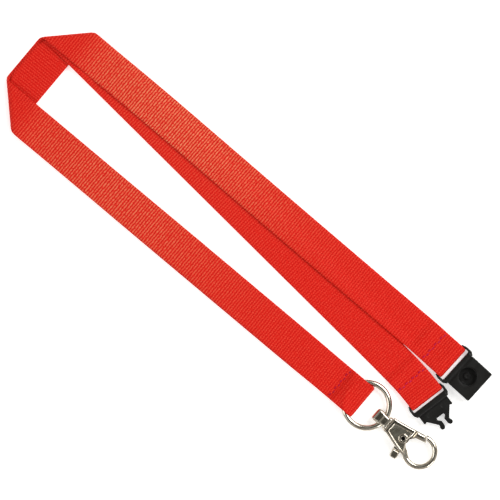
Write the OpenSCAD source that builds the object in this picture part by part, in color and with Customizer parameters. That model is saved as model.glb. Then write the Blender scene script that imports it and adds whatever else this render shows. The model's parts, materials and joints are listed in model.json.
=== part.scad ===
// A neck lanyard laid flat: one long ribbon folded into a narrow loop, a two-piece breakaway
// buckle on its loose ends, and a steel ring with a swivelling trigger hook at the front.
// The ring's centre is where the driving sizes start from; +X runs towards the hook, +Z is up.

/* [Webbing] */
// Width of the woven ribbon
web_w = 15; // [12:0.5:20]
// Thickness of one layer of ribbon
web_t = 1; // [0.8:0.05:1.2]
// From the ring's centre back to the middle of the turn at the neck end
strap_run = 189; // [120:1:230]
// From the middle of the doubled strap up to the middle of the single straps, at the turn
turn_span = 37; // [30:0.5:60]
// Length of each loose end that is folded back under its strap
hem_len = 13; // [12:0.5:16]
// Length over which a strap comes down off the turn
step_len = 12; // [8:1:20]
// Length of the gentle bend before the second strap's hem
bend_len = 12; // [8:1:20]
// How far the inner fold sits inside the outer one
inner_tuck = 0.6; // [0.3:0.1:1]
// How far a layer is pressed into the one under it
pressed = 0.05; // [0.02:0.01:0.1]

/* [Stitching] */
// From a strap's folded end to its cross seam, at the buckle
seam_back = 10.6; // [10:0.1:11.5]
// From the folded end to the cross seam, at the ring
ring_seam_back = 12.2; // [11.5:0.1:16]
// Length of one stitch
stitch_len = 1.5; // [1:0.1:2]
// Thickness of the sewing thread
thread = 0.3; // [0.2:0.05:0.4]
// Number of stitches across the ribbon
stitches = 7; // [5:1:8]

/* [Ring] */
// Diameter of the ring's wire
ring_wire = 2.4; // [1.8:0.1:2.8]
// How much wider the ring is inside than the ribbon
ring_play = 1; // [0.6:0.1:3]
// From the ring's centre back to the folded end of the doubled strap
ring_fold = 1.8; // [1.2:0.1:2.2]
// Air between the ring's wire and the ribbon around it
ring_gap = 0.2; // [0.15:0.05:0.3]

/* [Breakaway buckle] */
// Thickness of the socket half
buckle_t = 4; // [3.8:0.1:5]
// Thickness of the webbing loops
loop_t = 2.8; // [2.4:0.1:3.2]
// Width of a loop's side bars
side_bar = 1; // [0.8:0.1:1.6]
// Radius of the round bar that the webbing wraps
bar_r = 0.7; // [0.5:0.05:0.9]
// Air between the ribbon and the bar or the sides of the loop
bar_gap = 0.15; // [0.1:0.05:0.25]
// Socket half: gap between its two bars, width of the second bar, width and length of its case
socket_slot = 2.5; // [2.3:0.1:4]
socket_bar = 2; // [1.5:0.1:3]
socket_w = 14.6; // [14:0.1:18]
socket_len = 11; // [10.5:0.1:14]
// Radius of the round catch chamber, and its distance from the case's back edge
catch_r = 3.7; // [3.3:0.1:4.2]
catch_x = 4.2; // [4:0.1:5]
// Half width of the socket's mouth and of its neck
mouth_half = 6; // [5.5:0.1:6.6]
neck_half = 2.75; // [2.6:0.05:3]
// Length of the funnel from the mouth to the neck
funnel_len = 4; // [3.5:0.1:4.6]
// Skin left above and below the socket's channel
socket_skin = 0.8; // [0.6:0.05:1]
// Plug half: gap between its two bars, width of the second bar, width and length of its body
plug_slot = 2.05; // [2:0.05:3]
plug_bar = 2.3; // [1.8:0.1:3]
plug_w = 14.2; // [13.6:0.1:17]
plug_len = 3.5; // [3:0.1:5]
// Play of the plug's tongue in the socket's channel, above and below
tongue_play = 0.1; // [0.05:0.05:0.2]
// Radius of each round head, their distance past the shoulder and from the middle line
head_r = 1; // [0.8:0.05:1.1]
head_x = 5.6; // [5:0.1:6]
head_y = 1.95; // [1.85:0.05:2.1]
// How far the buckle halves sit ahead of the ring's centre
socket_bar_x = 14.4; // [10:0.1:30]
plug_bar_x = 15.9; // [10:0.1:30]
// Directions of the two halves, in degrees below the lanyard's length
socket_angle = 2.2; // [0:0.1:4]
plug_angle = 12.5; // [10:0.1:14]
// Gap between the two halves' loops, and between the plug half and the hook's lever
loop_apart = 0.5; // [0.4:0.1:3]
lever_apart = 0.25; // [0.2:0.05:2]

/* [Hook] */
// Direction of the hook, in degrees below the lanyard's length
hook_angle = 1.2; // [0:0.1:3]
// Thickness of the hook's body
hook_t = 4.7; // [4.4:0.1:5]
// Inside and outside radius of the hook's bow
bow_in = 5.05; // [4.6:0.05:6]
bow_out = 7.3; // [6.8:0.1:8.2]
// Height of the bow's section
bow_t = 3; // [2.6:0.1:4]
// From the bow's centre back to the gate's pivot, and its offset towards the lever
pivot_x = 8.7; // [8.6:0.1:9.2]
pivot_y = 0.4; // [0.2:0.1:0.6]
// From the bow's centre back to the shoulder that faces the swivel eye
shoulder_x = 16.75; // [16.5:0.05:18]
// How far the thumb lever reaches out from the hook's axis
lever_reach = 9.3; // [8.5:0.1:9.6]
// Width of the thumb lever, and its direction from the hook's axis when the gate is shut
lever_w = 3; // [2.4:0.1:3.2]
lever_angle = -78; // [-84:1:-74]
// Depth of the sunk panel in each cheek
panel_deep = 0.6; // [0.3:0.05:0.7]
// Thickness of the rocker inside the body, and the air on each of its faces
rocker_t = 2; // [1.6:0.1:2.2]
rocker_gap = 0.1; // [0.05:0.05:0.15]
// Air between the gate's tip and the nose of the bow
gate_gap = 0.2; // [0.15:0.05:0.4]
// Angle to which the gate opens
gate_open = 32; // [20:1:34]
// Radius of the rivet, and the running clearance of the rocker on it
rivet_r = 0.9; // [0.7:0.05:1]
rivet_gap = 0.06; // [0.03:0.01:0.1]
// Wire radius, mean coil radius and turns of the gate's spring
spring_wire_r = 0.17; // [0.12:0.01:0.2]
spring_r = 1.5; // [1.4:0.05:1.6]
spring_turns = 2.25; // [1.5:0.25:2.5]

/* [Swivel eye] */
// Radius of the eye's round end
knob_r = 2.35; // [2:0.05:2.35]
// From the ring's wire to the far end of the knob
knob_reach = 4.8; // [4.4:0.1:5.2]
// Width of the two bands over and under the wire
band_w = 2; // [1.6:0.1:2.4]
// Air between the ring's wire and the eye
eye_gap = 0.25; // [0.2:0.05:0.35]
// Width and thickness of the flange against the hook's shoulder
flange_w = 6.6; // [5:0.1:7]
flange_t = 0.9; // [0.7:0.05:1.2]
// Radius of the swivel stud and its running clearance
stud_r = 1.1; // [0.9:0.05:1.2]
stud_gap = 0.08; // [0.04:0.01:0.1]
// Radius and thickness of the stud's peened head
stud_head_r = 1.75; // [1.5:0.05:1.8]
stud_head_t = 0.8; // [0.6:0.05:1]
// Length of the bore through the shoulder
shoulder_t = 1.35; // [1.1:0.05:1.6]
// Air between flange and shoulder, and round the head
swivel_gap = 0.2; // [0.1:0.05:0.3]

/* [Hidden] */
$fn = 64;
far = 400;
cut = 0.5;

ring_r = (web_w + ring_play + ring_wire) / 2;
ring_z = max(web_t + ring_gap + ring_wire / 2, hook_t / 2);
ring_roof = ring_z + ring_wire / 2 + ring_gap;

loop_in = bar_r + bar_gap;
loop_out = loop_in + web_t;
bar_z = max(buckle_t / 2, loop_out);
loop_half = web_w / 2 + bar_gap + side_bar;
socket_step = bar_r + socket_slot + socket_bar;
plug_step = bar_r + plug_slot + plug_bar;
shoulder = plug_step + plug_len;

eye_r = ring_wire / 2 + eye_gap;
wire_x = shoulder_x + swivel_gap + flange_t + eye_r;
hook_reach = ring_r + wire_x;
eye_half = hook_t / 2;
spring_pitch = 2.1 * spring_wire_r;

function towards(a) = [cos(a), -sin(a)];
// The plug clears the circle that the lever sweeps, and the socket clears the plug.
plug_drop = shoulder * sin(plug_angle) + plug_w / 2 * cos(plug_angle);
hook_drop = (hook_reach - shoulder_x / 2) * sin(hook_angle);
plug_bar_y = lever_reach - hook_drop + lever_apart + plug_drop;
socket_bar_y = plug_bar_y + loop_half * (cos(plug_angle) + cos(socket_angle)) + loop_apart;
socket_bar_at = [socket_bar_x, socket_bar_y];
plug_bar_at = [plug_bar_x, plug_bar_y];

turn_at = [-strap_run, turn_span];
inner_turn_at = turn_at - [0, inner_tuck];
knee_a = socket_bar_at - hem_len * towards(socket_angle);
knee_b = plug_bar_at - hem_len * towards(plug_angle);
bend_angle = 0.6 * plug_angle;
bend_at = knee_b - bend_len * towards(bend_angle);
run_a = knee_a - turn_at;
run_b = bend_at - inner_turn_at;
angle_a = -atan2(run_a[1], run_a[0]);
angle_b = -atan2(run_b[1], run_b[0]);

// The part stands with the middle of its outline over the origin.
x_low = -strap_run - web_w / 2;
x_high = hook_reach * cos(hook_angle) + bow_out;
y_low = -max(ring_r + ring_wire / 2, hook_drop + lever_reach);
y_high = turn_span + web_w / 2;
row_shift = [-(x_low + x_high) / 2, -(y_low + y_high) / 2, 0];

web_red = [0.86, 0.12, 0.08];
thread_red = [0.55, 0.05, 0.10];
thread_pink = [0.80, 0.15, 0.35];
plastic_black = [0.09, 0.09, 0.085];
nickel = [0.72, 0.70, 0.66];
steel = [0.55, 0.55, 0.55];

module in_row() {
    translate(row_shift) children();
}

// A stretch of flat ribbon whose middle follows the points [along, height], pressed into what it lies on.
module ribbon(path, thick = web_t) {
    top = [for (p = path) [p[0], p[1] + thick / 2]];
    under = [for (i = [len(path) - 1:-1:0]) [path[i][0], max(0, path[i][1] - thick / 2 - pressed)]];
    rotate([90, 0, 0]) linear_extrude(web_w, center = true) polygon(concat(top, under));
}

// Everything on one side of a fold line through a point, at an angle.
module beyond(at, angle) {
    translate([at[0], at[1], -1]) rotate(angle) translate([0, -far / 2, 0]) cube([far, far, 20]);
}

module place(at, angle) {
    translate([at[0], at[1], 0]) rotate(-angle) children();
}

// The path of a strap that lies at one level on the turn and comes down to another.
function coming_down(length, high, low) = [
    [-web_w, high * web_t], [web_w / 2 + 1, high * web_t],
    [web_w / 2 + 1 + step_len, low * web_t], [length, low * web_t]];

module turn() {
    left = -strap_run - web_w / 2;
    right = -strap_run + web_w / 2;
    linear_extrude(2 * web_t) polygon([
        [left, web_w / 2], [left, turn_span - web_w / 2],
        [right, turn_span + web_w / 2], [right, -web_w / 2]]);
}

module strap_a() {
    intersection() {
        place(turn_at, angle_a) ribbon(coming_down(norm(run_a) + cut, 3.5, 1.5));
        beyond(turn_at, -45);
    }
    place(socket_bar_at, socket_angle) hemmed_end();
}

module strap_b() {
    intersection() {
        place(inner_turn_at, angle_b) ribbon(coming_down(norm(run_b) + cut, 2.5, 0.5));
        beyond(inner_turn_at, -45);
    }
    place(bend_at, bend_angle) ribbon([
        [-cut, web_t / 2], [2, web_t / 2], [bend_len - 2, 1.5 * web_t], [bend_len + cut, 1.5 * web_t]]);
    place(plug_bar_at, plug_angle) hemmed_end();
}

// The loose end: over the bar, round it and back underneath. The bar is at the origin.
module hemmed_end() {
    sewn = loop_out - seam_back + 1;
    rotate([90, 0, 0]) linear_extrude(web_w, center = true) difference() {
        union() {
            translate([0, bar_z]) circle(loop_out);
            polygon([[-hem_len, 0], [sewn, 0], [0, bar_z - loop_out], [0, bar_z + loop_out],
                [sewn, 2 * web_t], [-hem_len, 2 * web_t]]);
        }
        translate([0, bar_z]) circle(loop_in);
        polygon([[sewn, web_t], [0, bar_z - loop_in], [0, bar_z + loop_in]]);
    }
}

// The doubled strap, with the pocket that the ring's wire lies in.
module strap_c() {
    fold = -ring_fold;
    sewn = fold - ring_seam_back + 0.6;
    over = -ring_r - ring_wire / 2 - ring_gap - 0.1;
    soft = 0.8 * web_t;
    intersection() {
        translate([-strap_run, 0, 0]) ribbon([for (p = coming_down(strap_run + sewn, 3.5, 1.5))
            [p[0], p[1] - web_t / 2]], 2 * web_t);
        beyond([-strap_run, 0], 45);
    }
    difference() {
        rotate([90, 0, 0]) linear_extrude(web_w, center = true) difference() {
            polygon([[sewn - 1, 0], [fold - soft, 0], [fold, soft], [fold, ring_roof + web_t - soft],
                [fold - soft, ring_roof + web_t], [over, ring_roof + web_t], [sewn, 2 * web_t],
                [sewn - 1, 2 * web_t]]);
            polygon([[sewn, web_t], [fold - web_t, web_t], [fold - web_t, ring_roof], [over, ring_roof]]);
        }
        ring(ring_wire / 2 + ring_gap);
    }
}

module webbing() {
    color(web_red) in_row() {
        turn();
        strap_b();
        strap_a();
        strap_c();
    }
}

// One row of stitches across two layers of ribbon.
module seam(at) {
    pitch = (web_w - 1) / stitches;
    for (i = [0:stitches - 1])
        translate([at - thread / 2, (i + 0.5) * pitch - (web_w - 1 + stitch_len) / 2, 2 * web_t])
            cube([thread, stitch_len, thread]);
}

module seam_socket_end() {
    color(thread_pink) in_row() place(socket_bar_at, socket_angle) seam(loop_out - seam_back);
}

module seam_plug_end() {
    color(thread_pink) in_row() place(plug_bar_at, plug_angle) seam(loop_out - seam_back);
}

module seam_ring_end() {
    color(thread_red) in_row() seam(-ring_fold - ring_seam_back);
}

module rounded(low, high, r) {
    union() {
        translate([low[0] + r, low[1]]) square([high[0] - low[0] - 2 * r, high[1] - low[1]]);
        translate([low[0], low[1] + r]) square([high[0] - low[0], high[1] - low[1] - 2 * r]);
        for (x = [low[0] + r, high[0] - r], y = [low[1] + r, high[1] - r]) translate([x, y]) circle(r);
    }
}

// The webbing loop of a buckle half; the webbing wraps the round bar on the Y axis.
module buckle_loop(slot, step) {
    inside = loop_half - side_bar;
    corner = 2 * side_bar;
    linear_extrude(loop_t, center = true) difference() {
        rounded([-bar_r, -loop_half], [step, loop_half], corner);
        rounded([bar_r - corner, -inside], [bar_r + slot, inside], side_bar / 2);
    }
    rotate([90, 0, 0]) cylinder(h = 2 * inside + side_bar, r = bar_r, center = true);
}

module socket_half() {
    channel = buckle_t - 2 * socket_skin;
    mouth = socket_step + socket_len;
    difference() {
        union() {
            buckle_loop(socket_slot, socket_step);
            linear_extrude(buckle_t, center = true)
                rounded([socket_step, -socket_w / 2], [mouth, socket_w / 2], 0.4);
        }
        translate([socket_step + catch_x, 0, -channel / 2]) cylinder(h = buckle_t, r = catch_r);
        linear_extrude(channel, center = true) polygon([
            [socket_step + catch_x, neck_half], [mouth - funnel_len, neck_half],
            [mouth + cut, mouth_half], [mouth + cut, -mouth_half],
            [mouth - funnel_len, -neck_half], [socket_step + catch_x, -neck_half]]);
    }
    translate([socket_step + catch_x, 0, -channel / 2 - 0.1]) cylinder(h = 0.3, r = 1.3);
}

module plug_half() {
    tongue = buckle_t - 2 * socket_skin - 2 * tongue_play;
    root = shoulder + 4;
    end = shoulder + head_x + head_r;
    buckle_loop(plug_slot, plug_step);
    linear_extrude(tongue, center = true) difference() {
        union() {
            rounded([plug_step - side_bar, -plug_w / 2], [shoulder, plug_w / 2], 0.4);
            polygon([[shoulder - 1, -plug_w / 2 + 1.2], [shoulder, -plug_w / 2 + 1.2], [root, -2.6],
                [shoulder + head_x, -head_y - 0.6], [shoulder + head_x, head_y + 0.6], [root, 2.6],
                [shoulder, plug_w / 2 - 1.2], [shoulder - 1, plug_w / 2 - 1.2]]);
            for (side = [-1, 1]) {
                translate([shoulder - 0.1, side * (plug_w / 2 - 0.45)]) circle(0.45);
                translate([shoulder + head_x, side * head_y]) circle(head_r);
            }
        }
        polygon([[shoulder + 1.3, -1.7], [shoulder + 2.2, -1.9], [shoulder + 3.4, -0.7], [end, -0.85],
            [end, 0.85], [shoulder + 3.4, 0.7], [shoulder + 2.2, 1.9], [shoulder + 1.3, 1.7]]);
    }
}

module buckle_socket() {
    color(plastic_black) in_row() place(socket_bar_at, socket_angle) translate([0, 0, bar_z]) socket_half();
}

module buckle_plug() {
    color(plastic_black) in_row() place(plug_bar_at, plug_angle) translate([0, 0, bar_z]) plug_half();
}

module ring(wire_r) {
    translate([0, 0, ring_z]) rotate_extrude() translate([ring_r, 0]) circle(wire_r);
}

module o_ring() {
    color(nickel) in_row() ring(ring_wire / 2);
}

// The hook's own frame: the bow's centre at the origin, the swivel axis along X.
module in_hook() {
    in_row() rotate(-hook_angle) translate([hook_reach, 0, ring_z]) children();
}

module along_x(from, length, r) {
    translate([from, 0, 0]) rotate([0, 90, 0]) cylinder(h = length, r = r);
}

module swivel_eye() {
    flange = -shoulder_x - swivel_gap - flange_t;
    head = -shoulder_x + shoulder_t + swivel_gap;
    color(nickel) in_hook() {
        difference() {
            union() {
                translate([-wire_x - knob_reach + knob_r, 0, 0]) sphere(knob_r);
                translate([-wire_x - knob_reach + knob_r, -band_w / 2, -eye_half])
                    cube([knob_reach - knob_r + eye_r + flange_t / 2, band_w, 2 * eye_half]);
            }
            translate([-wire_x, 0, 0]) rotate([90, 0, 0])
                cylinder(h = 2 * knob_r + cut, r = eye_r, center = true);
            for (side = [-1, 1]) translate([-wire_x, side * band_w / 2, 0]) rotate([-90 * side, 0, 0])
                cylinder(h = knob_r, r1 = eye_r, r2 = eye_r + 0.8);
        }
        intersection() {
            along_x(flange, flange_t, flange_w / 2);
            cube([far, flange_w, 2 * eye_half], center = true);
        }
        along_x(flange + flange_t / 2, head - flange, stud_r);
        along_x(head, stud_head_t, stud_head_r);
    }
}

module at_pivot() {
    translate([-pivot_x, -pivot_y, 0]) children();
}

// The plan outline of the hook's two cheeks, without the bow.
module cheeks() {
    difference() {
        polygon([[-shoulder_x, -3.3], [-15.3, -3.3], [-9.1, -5], [-0.6 * bow_out, -0.8 * bow_out],
            [-0.4 * bow_out, -0.9 * bow_out], [-0.3 * bow_out, -0.6 * bow_out], [-6.4, 0],
            [-6.4, 5.6], [-9, 5], [-13.8, 4], [-shoulder_x, 3.6]]);
        circle(bow_in);
        translate([-3.4, 0.6]) circle(3.6);
    }
}

// The sunk panel on each face of the cheeks.
module panel() {
    difference() {
        polygon([[-13.6, -2.1], [-13.6, 1.7], [-7.5, 3.4], [-7.2, 0], [-5.4, -3.7], [-3.6, -5.2],
            [-9.2, -3.6]]);
        translate([-pivot_x, -pivot_y]) circle(2 * rivet_r);
    }
}

// The tip of the gate swings on this circle about the pivot.
gate_radius = norm([pivot_x - 1.2, 5.45 + pivot_y]);

// The plan outline of the rocker: hub, gate and thumb lever, about the pivot, grown by some air.
module gate_outline(air = 0) {
    intersection() {
        polygon([[-1.6 - air, 2.2], [1.4 - air, 5.7 + air], [6.5, 6.9 + air], [8.2 + air, 4.7],
            [3.8, 3.4 - air], [2.5 + air, 1.6 - air], [1.5, -1.5 - air], [-1.5, -1]]);
        circle(gate_radius);
    }
}

module lever_outline(air = 0) {
    reach = (lever_reach - pivot_y) / sin(-lever_angle) - 0.55 * lever_w;
    rotate(lever_angle) union() {
        translate([0, -lever_w / 2 - air]) square([reach, lever_w + 2 * air]);
        translate([reach, 0]) circle(lever_w / 2 + air);
    }
}

// The room that the rocker needs between the cheeks, from shut to open.
module rocker_room() {
    air = 0.25;
    for (turned = [0:-gate_open / 4:-gate_open - 1]) rotate(turned) {
        gate_outline(air);
        lever_outline(air);
    }
    circle(2.5 + 2 * air);
}

module hook_body() {
    neck = -shoulder_x + shoulder_t;
    slot = rocker_t + 2 * rocker_gap;
    bow_r = (bow_in + bow_out) / 2;
    wall = (bow_out - bow_in) / 2;
    color(nickel) in_hook() {
        difference() {
            union() {
                linear_extrude(hook_t, center = true) cheeks();
                rotate([0, 0, -138]) rotate_extrude(angle = 250) translate([bow_r, 0]) union() {
                    for (z = [-1, 1]) translate([0, z * (bow_t / 2 - wall)]) circle(wall);
                    square([2 * wall, bow_t - 2 * wall], center = true);
                }
            }
            for (face = [-1, 1]) translate([0, 0, face * hook_t / 2])
                linear_extrude(2 * panel_deep, center = true) panel();
            at_pivot() linear_extrude(slot, center = true) rocker_room();
            at_pivot() intersection() {
                cylinder(h = 2 * hook_t, r = gate_radius + gate_gap, center = true, $fn = 96);
                translate([2.6, 3.4, -hook_t]) cube([far, far, 2 * hook_t]);
            }
            at_pivot() cylinder(h = 2 * hook_t, r = rivet_r, center = true);
            along_x(-shoulder_x - cut, shoulder_t + 2 * cut, stud_r + stud_gap);
            translate([neck, -stud_head_r - swivel_gap, -hook_t])
                cube([stud_head_t + 2 * swivel_gap, 2 * (stud_head_r + swivel_gap), 2 * hook_t]);
        }
    }
}

module gate_lever() {
    pocket = (spring_turns + 1) * spring_pitch;
    color(nickel) in_hook() at_pivot() difference() {
        union() {
            linear_extrude(rocker_t, center = true) {
                circle(2.5);
                gate_outline();
                lever_outline();
            }
            linear_extrude(bow_t, center = true) {
                intersection() {
                    gate_outline();
                    translate([2.55, -1]) square([far, far]);
                }
                intersection() {
                    lever_outline();
                    rotate(lever_angle) translate([5.9, -far / 2]) square([far, far]);
                }
            }
        }
        cylinder(h = hook_t, r = rivet_r + rivet_gap, center = true);
        translate([0, 0, rocker_t / 2 - pocket]) cylinder(h = hook_t, r = 2);
    }
}

// A tubular rivet, its two ends sunk in the bosses.
module pivot_rivet() {
    length = hook_t - 0.5;
    color(steel) in_hook() at_pivot() difference() {
        cylinder(h = length, r = rivet_r, center = true);
        for (end = [-1, 1]) translate([0, 0, end * length / 2])
            cylinder(h = 1.6, r = 0.6 * rivet_r, center = true);
    }
}

// The points of one ring of the spring's wire, at a place along its turns.
function spring_ring(turn, pitch, sides) = [for (k = [0:sides - 1])
    let (a = 360 * k / sides, r = spring_r + spring_wire_r * cos(a))
    [r * cos(360 * turn), r * sin(360 * turn), pitch * turn + spring_wire_r * sin(a)]];

module coil(turns, pitch) {
    sides = 8;
    steps = 20 * turns;
    points = [for (i = [0:steps]) each spring_ring(turns * i / steps, pitch, sides)];
    skin = [for (i = [0:steps - 1], k = [0:sides - 1])
        let (next = (k + 1) % sides)
        [i * sides + k, (i + 1) * sides + k, (i + 1) * sides + next, i * sides + next]];
    polyhedron(points, concat(skin, [[for (k = [0:sides - 1]) k]],
        [[for (k = [sides - 1:-1:0]) steps * sides + k]]), convexity = 6);
}

module gate_spring() {
    lowest = rocker_t / 2 - spring_wire_r - spring_pitch * spring_turns;
    color(steel) in_hook() at_pivot() translate([0, 0, lowest]) coil(spring_turns, spring_pitch);
}

webbing();
seam_socket_end();
seam_plug_end();
seam_ring_end();
buckle_socket();
buckle_plug();
o_ring();
swivel_eye();
hook_body();
gate_lever();
pivot_rivet();
gate_spring();
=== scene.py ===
import json
import math

import bpy
import numpy as np
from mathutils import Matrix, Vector


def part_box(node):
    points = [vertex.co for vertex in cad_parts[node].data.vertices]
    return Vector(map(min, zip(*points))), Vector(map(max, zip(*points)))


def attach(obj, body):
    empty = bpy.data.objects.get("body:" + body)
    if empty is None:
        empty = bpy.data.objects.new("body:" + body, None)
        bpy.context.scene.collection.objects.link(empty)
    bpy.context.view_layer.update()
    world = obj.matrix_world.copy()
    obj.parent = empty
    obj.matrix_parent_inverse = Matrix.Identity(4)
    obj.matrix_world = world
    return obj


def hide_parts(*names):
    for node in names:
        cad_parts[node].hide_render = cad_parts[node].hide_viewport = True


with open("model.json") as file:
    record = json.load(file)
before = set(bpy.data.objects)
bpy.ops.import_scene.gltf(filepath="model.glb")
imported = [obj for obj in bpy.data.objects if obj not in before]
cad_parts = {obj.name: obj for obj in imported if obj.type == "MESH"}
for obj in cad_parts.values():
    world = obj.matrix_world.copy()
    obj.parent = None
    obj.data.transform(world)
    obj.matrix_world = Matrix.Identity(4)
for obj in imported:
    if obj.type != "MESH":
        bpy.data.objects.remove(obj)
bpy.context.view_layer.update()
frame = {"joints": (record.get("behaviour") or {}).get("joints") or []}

# ---------------------------------------------------------------------------------------------
# The studio: a lanyard laid flat on a glowing white table, looked at from straight above and
# turned 40 degrees, under one broad soft light beyond the straps and a weaker one opposite.
# ---------------------------------------------------------------------------------------------
MM = 0.001


def tone(code):
    """An sRGB hex colour as linear red, green, blue and alpha."""
    parts = [int(code[i:i + 2], 16) / 255 for i in (0, 2, 4)]
    return tuple(c / 12.92 if c <= 0.04045 else ((c + 0.055) / 1.055) ** 2.4 for c in parts) + (1,)


def add(tree, kind, settings=None, inputs=None):
    """Adds one node, with its settings, and its inputs either set or linked."""
    made = tree.nodes.new("ShaderNode" + kind)
    for name, value in (settings or {}).items():
        setattr(made, name, value)
    for name, value in (inputs or {}).items():
        if isinstance(value, bpy.types.NodeSocket):
            tree.links.new(value, made.inputs[name])
        else:
            made.inputs[name].default_value = value
    return made


def blend(tree, factor, stops):
    """A colour ramp over a factor, through stops of (position, sRGB hex colour)."""
    made = add(tree, "ValToRGB", inputs={"Fac": factor})
    elements = made.color_ramp.elements
    while len(elements) < len(stops):
        elements.new(0.5)
    for element, (at, code) in zip(elements, stops):
        element.position, element.color = at, tone(code)
    return made


def new_finish(name):
    """An empty material and its node tree."""
    made = bpy.data.materials.new(name)
    made.use_nodes = True
    made.node_tree.nodes.clear()
    return made, made.node_tree


def close_finish(tree, shader_inputs):
    """The shader that ends a material, with the inputs given."""
    shader = add(tree, "BsdfPrincipled", inputs=shader_inputs)
    add(tree, "OutputMaterial", inputs={"Surface": shader.outputs[0]})


scene = bpy.context.scene
scene.view_settings.view_transform = "Standard"

view_turn = math.radians(40)
view_centre = Vector((0.0038, 0.0007, 0.002))
view_width = 0.2025
lens, sensor = 150, 36
camera_data = bpy.data.cameras.new("camera")
camera_data.lens, camera_data.sensor_width = lens, sensor
camera_data.clip_start, camera_data.clip_end = 0.01, 10
camera = bpy.data.objects.new("camera", camera_data)
camera.location = view_centre + Vector((0, 0, view_width * lens / sensor))
camera.rotation_euler = (0, 0, view_turn)
scene.collection.objects.link(camera)
scene.camera = camera

# Opal acrylic, lit a little from below so that shadows on it stay faint: a dense matt white with
# a very fine grain.
laminate, tree = new_finish("white_opal_acrylic")
place = add(tree, "TexCoord")
grain = add(tree, "TexNoise",
            inputs={"Vector": place.outputs["Object"], "Scale": 900, "Detail": 3})
dent = add(tree, "Bump",
           inputs={"Height": grain.outputs["Fac"], "Strength": 0.05, "Distance": 0.0001})
close_finish(tree, {
    "Base Color": tone("F4F4F2"), "Roughness": 0.75, "Emission Color": tone("FFFFFF"),
    "Emission Strength": 0.5, "Normal": dent.outputs["Normal"]})
table_half, table_z = 2.5, -0.06 * MM
table_mesh = bpy.data.meshes.new("table")
table_mesh.from_pydata([(x * table_half, y * table_half, table_z) for x, y in
                        ((-1, -1), (1, -1), (1, 1), (-1, 1))], [], [(0, 1, 2, 3)])
table_mesh.materials.append(laminate)
table = bpy.data.objects.new("table", table_mesh)
scene.collection.objects.link(table)

# A white tent: bright round its middle, dull brown towards the floor, and dark straight above,
# where the camera looks in. The metal parts show these bands.
world = bpy.data.worlds.new("studio")
scene.world = world
world.use_nodes = True
tree = world.node_tree
tree.nodes.clear()
way = add(tree, "TexCoord")
way_up = add(tree, "SeparateXYZ", inputs={"Vector": way.outputs["Generated"]})
tent = blend(tree, way_up.outputs["Z"], (
    (0.0, "4A3D33"), (0.16, "7E6C5C"), (0.3, "E9E7E3"), (0.8, "F6F7F8"), (0.95, "A5A6A0"),
    (1.0, "575853")))
# Folds and seams in the tent's cloth, which the curved metal picks up as brown and grey streaks.
drape = add(tree, "TexNoise",
            inputs={"Vector": way.outputs["Generated"], "Scale": 2.6, "Detail": 2})
folds = blend(tree, drape.outputs["Fac"], ((0.36, "6E5F52"), (0.56, "FFFFFF")))
cloth_light = add(tree, "MixRGB", {"blend_type": "MULTIPLY"},
                  {"Fac": 1.0, "Color1": tent.outputs["Color"], "Color2": folds.outputs["Color"]})
sky = add(tree, "Background", inputs={"Color": cloth_light.outputs["Color"], "Strength": 0.75})
add(tree, "OutputWorld", inputs={"Surface": sky.outputs[0]})

# Each lamp's place, the width of its square face in metres and its power in watts.
lamps = {
    "key": ((0.25, 0.75, 0.75), 0.7, 8.5),
    "fill": ((-0.55, -0.65, 0.7), 0.8, 4.0),
    "side": ((0.9, -0.15, 0.5), 0.3, 2.0),
}
for name, (at, size, power) in lamps.items():
    lamp_data = bpy.data.lights.new(name, "AREA")
    lamp_data.shape, lamp_data.size, lamp_data.energy = "SQUARE", size, power
    lamp = bpy.data.objects.new(name, lamp_data)
    lamp.location = at
    lamp.rotation_euler = (view_centre - Vector(at)).to_track_quat("-Z", "Y").to_euler()
    scene.collection.objects.link(lamp)

# ---------------------------------------------------------------------------------------------
# The strap: one 892 mm cut of 15 mm ribbed polyester ribbon, 0.9 mm thick. It runs from the
# socket half round two folded corners to the ring and back beside itself to the plug half, its
# cut ends turned under. It is woven flat, so every fold keeps its length.
# ---------------------------------------------------------------------------------------------
ribbon_w = 15.0
ribbon_t = 0.9
layer = 1.0
rib_pitch = 1.1
rib_high = 0.08
pebble = 0.04
rows_a_rib = 4
yarn_pitch = 0.47

joint = {j["name"]: j for j in frame["joints"]}
ring_low, ring_high = (np.array(c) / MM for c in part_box("o_ring"))
ring_at = (ring_low[:2] + ring_high[:2]) / 2
ring_outer = (ring_high[0] - ring_low[0]) / 2
ring_wire = ring_high[2] - ring_low[2]
ring_r = ring_outer - ring_wire / 2
strap_low, strap_high = (np.array(c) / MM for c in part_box("webbing"))
socket_at = np.array(joint["socket_tilt"]["pos_m"]) / MM
plug_at = np.array(joint["plug_tilt"]["pos_m"]) / MM
socket_turn = math.degrees(math.asin(-joint["socket_tilt"]["axis"][0]))
plug_turn = math.degrees(math.asin(-joint["plug_tilt"]["axis"][0]))


def eased(x):
    """A soft step from nought to one."""
    x = np.clip(x, 0, 1)
    return x * x * (3 - 2 * x)


def centre_line(tip, knots):
    """A strap's middle line from its tip back to the turn: knots are (distance, degrees)."""
    line_step = 0.25
    far = np.arange(-4, 260, line_step)
    angle = np.radians(np.interp(far, [k[0] for k in knots], [k[1] for k in knots]))
    step = np.column_stack([-np.cos(angle), np.sin(angle)]) * line_step
    line = np.cumsum(step, axis=0)
    line += np.array(tip) - [np.interp(0, far, line[:, i]) for i in (0, 1)]
    return far, line, angle


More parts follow.
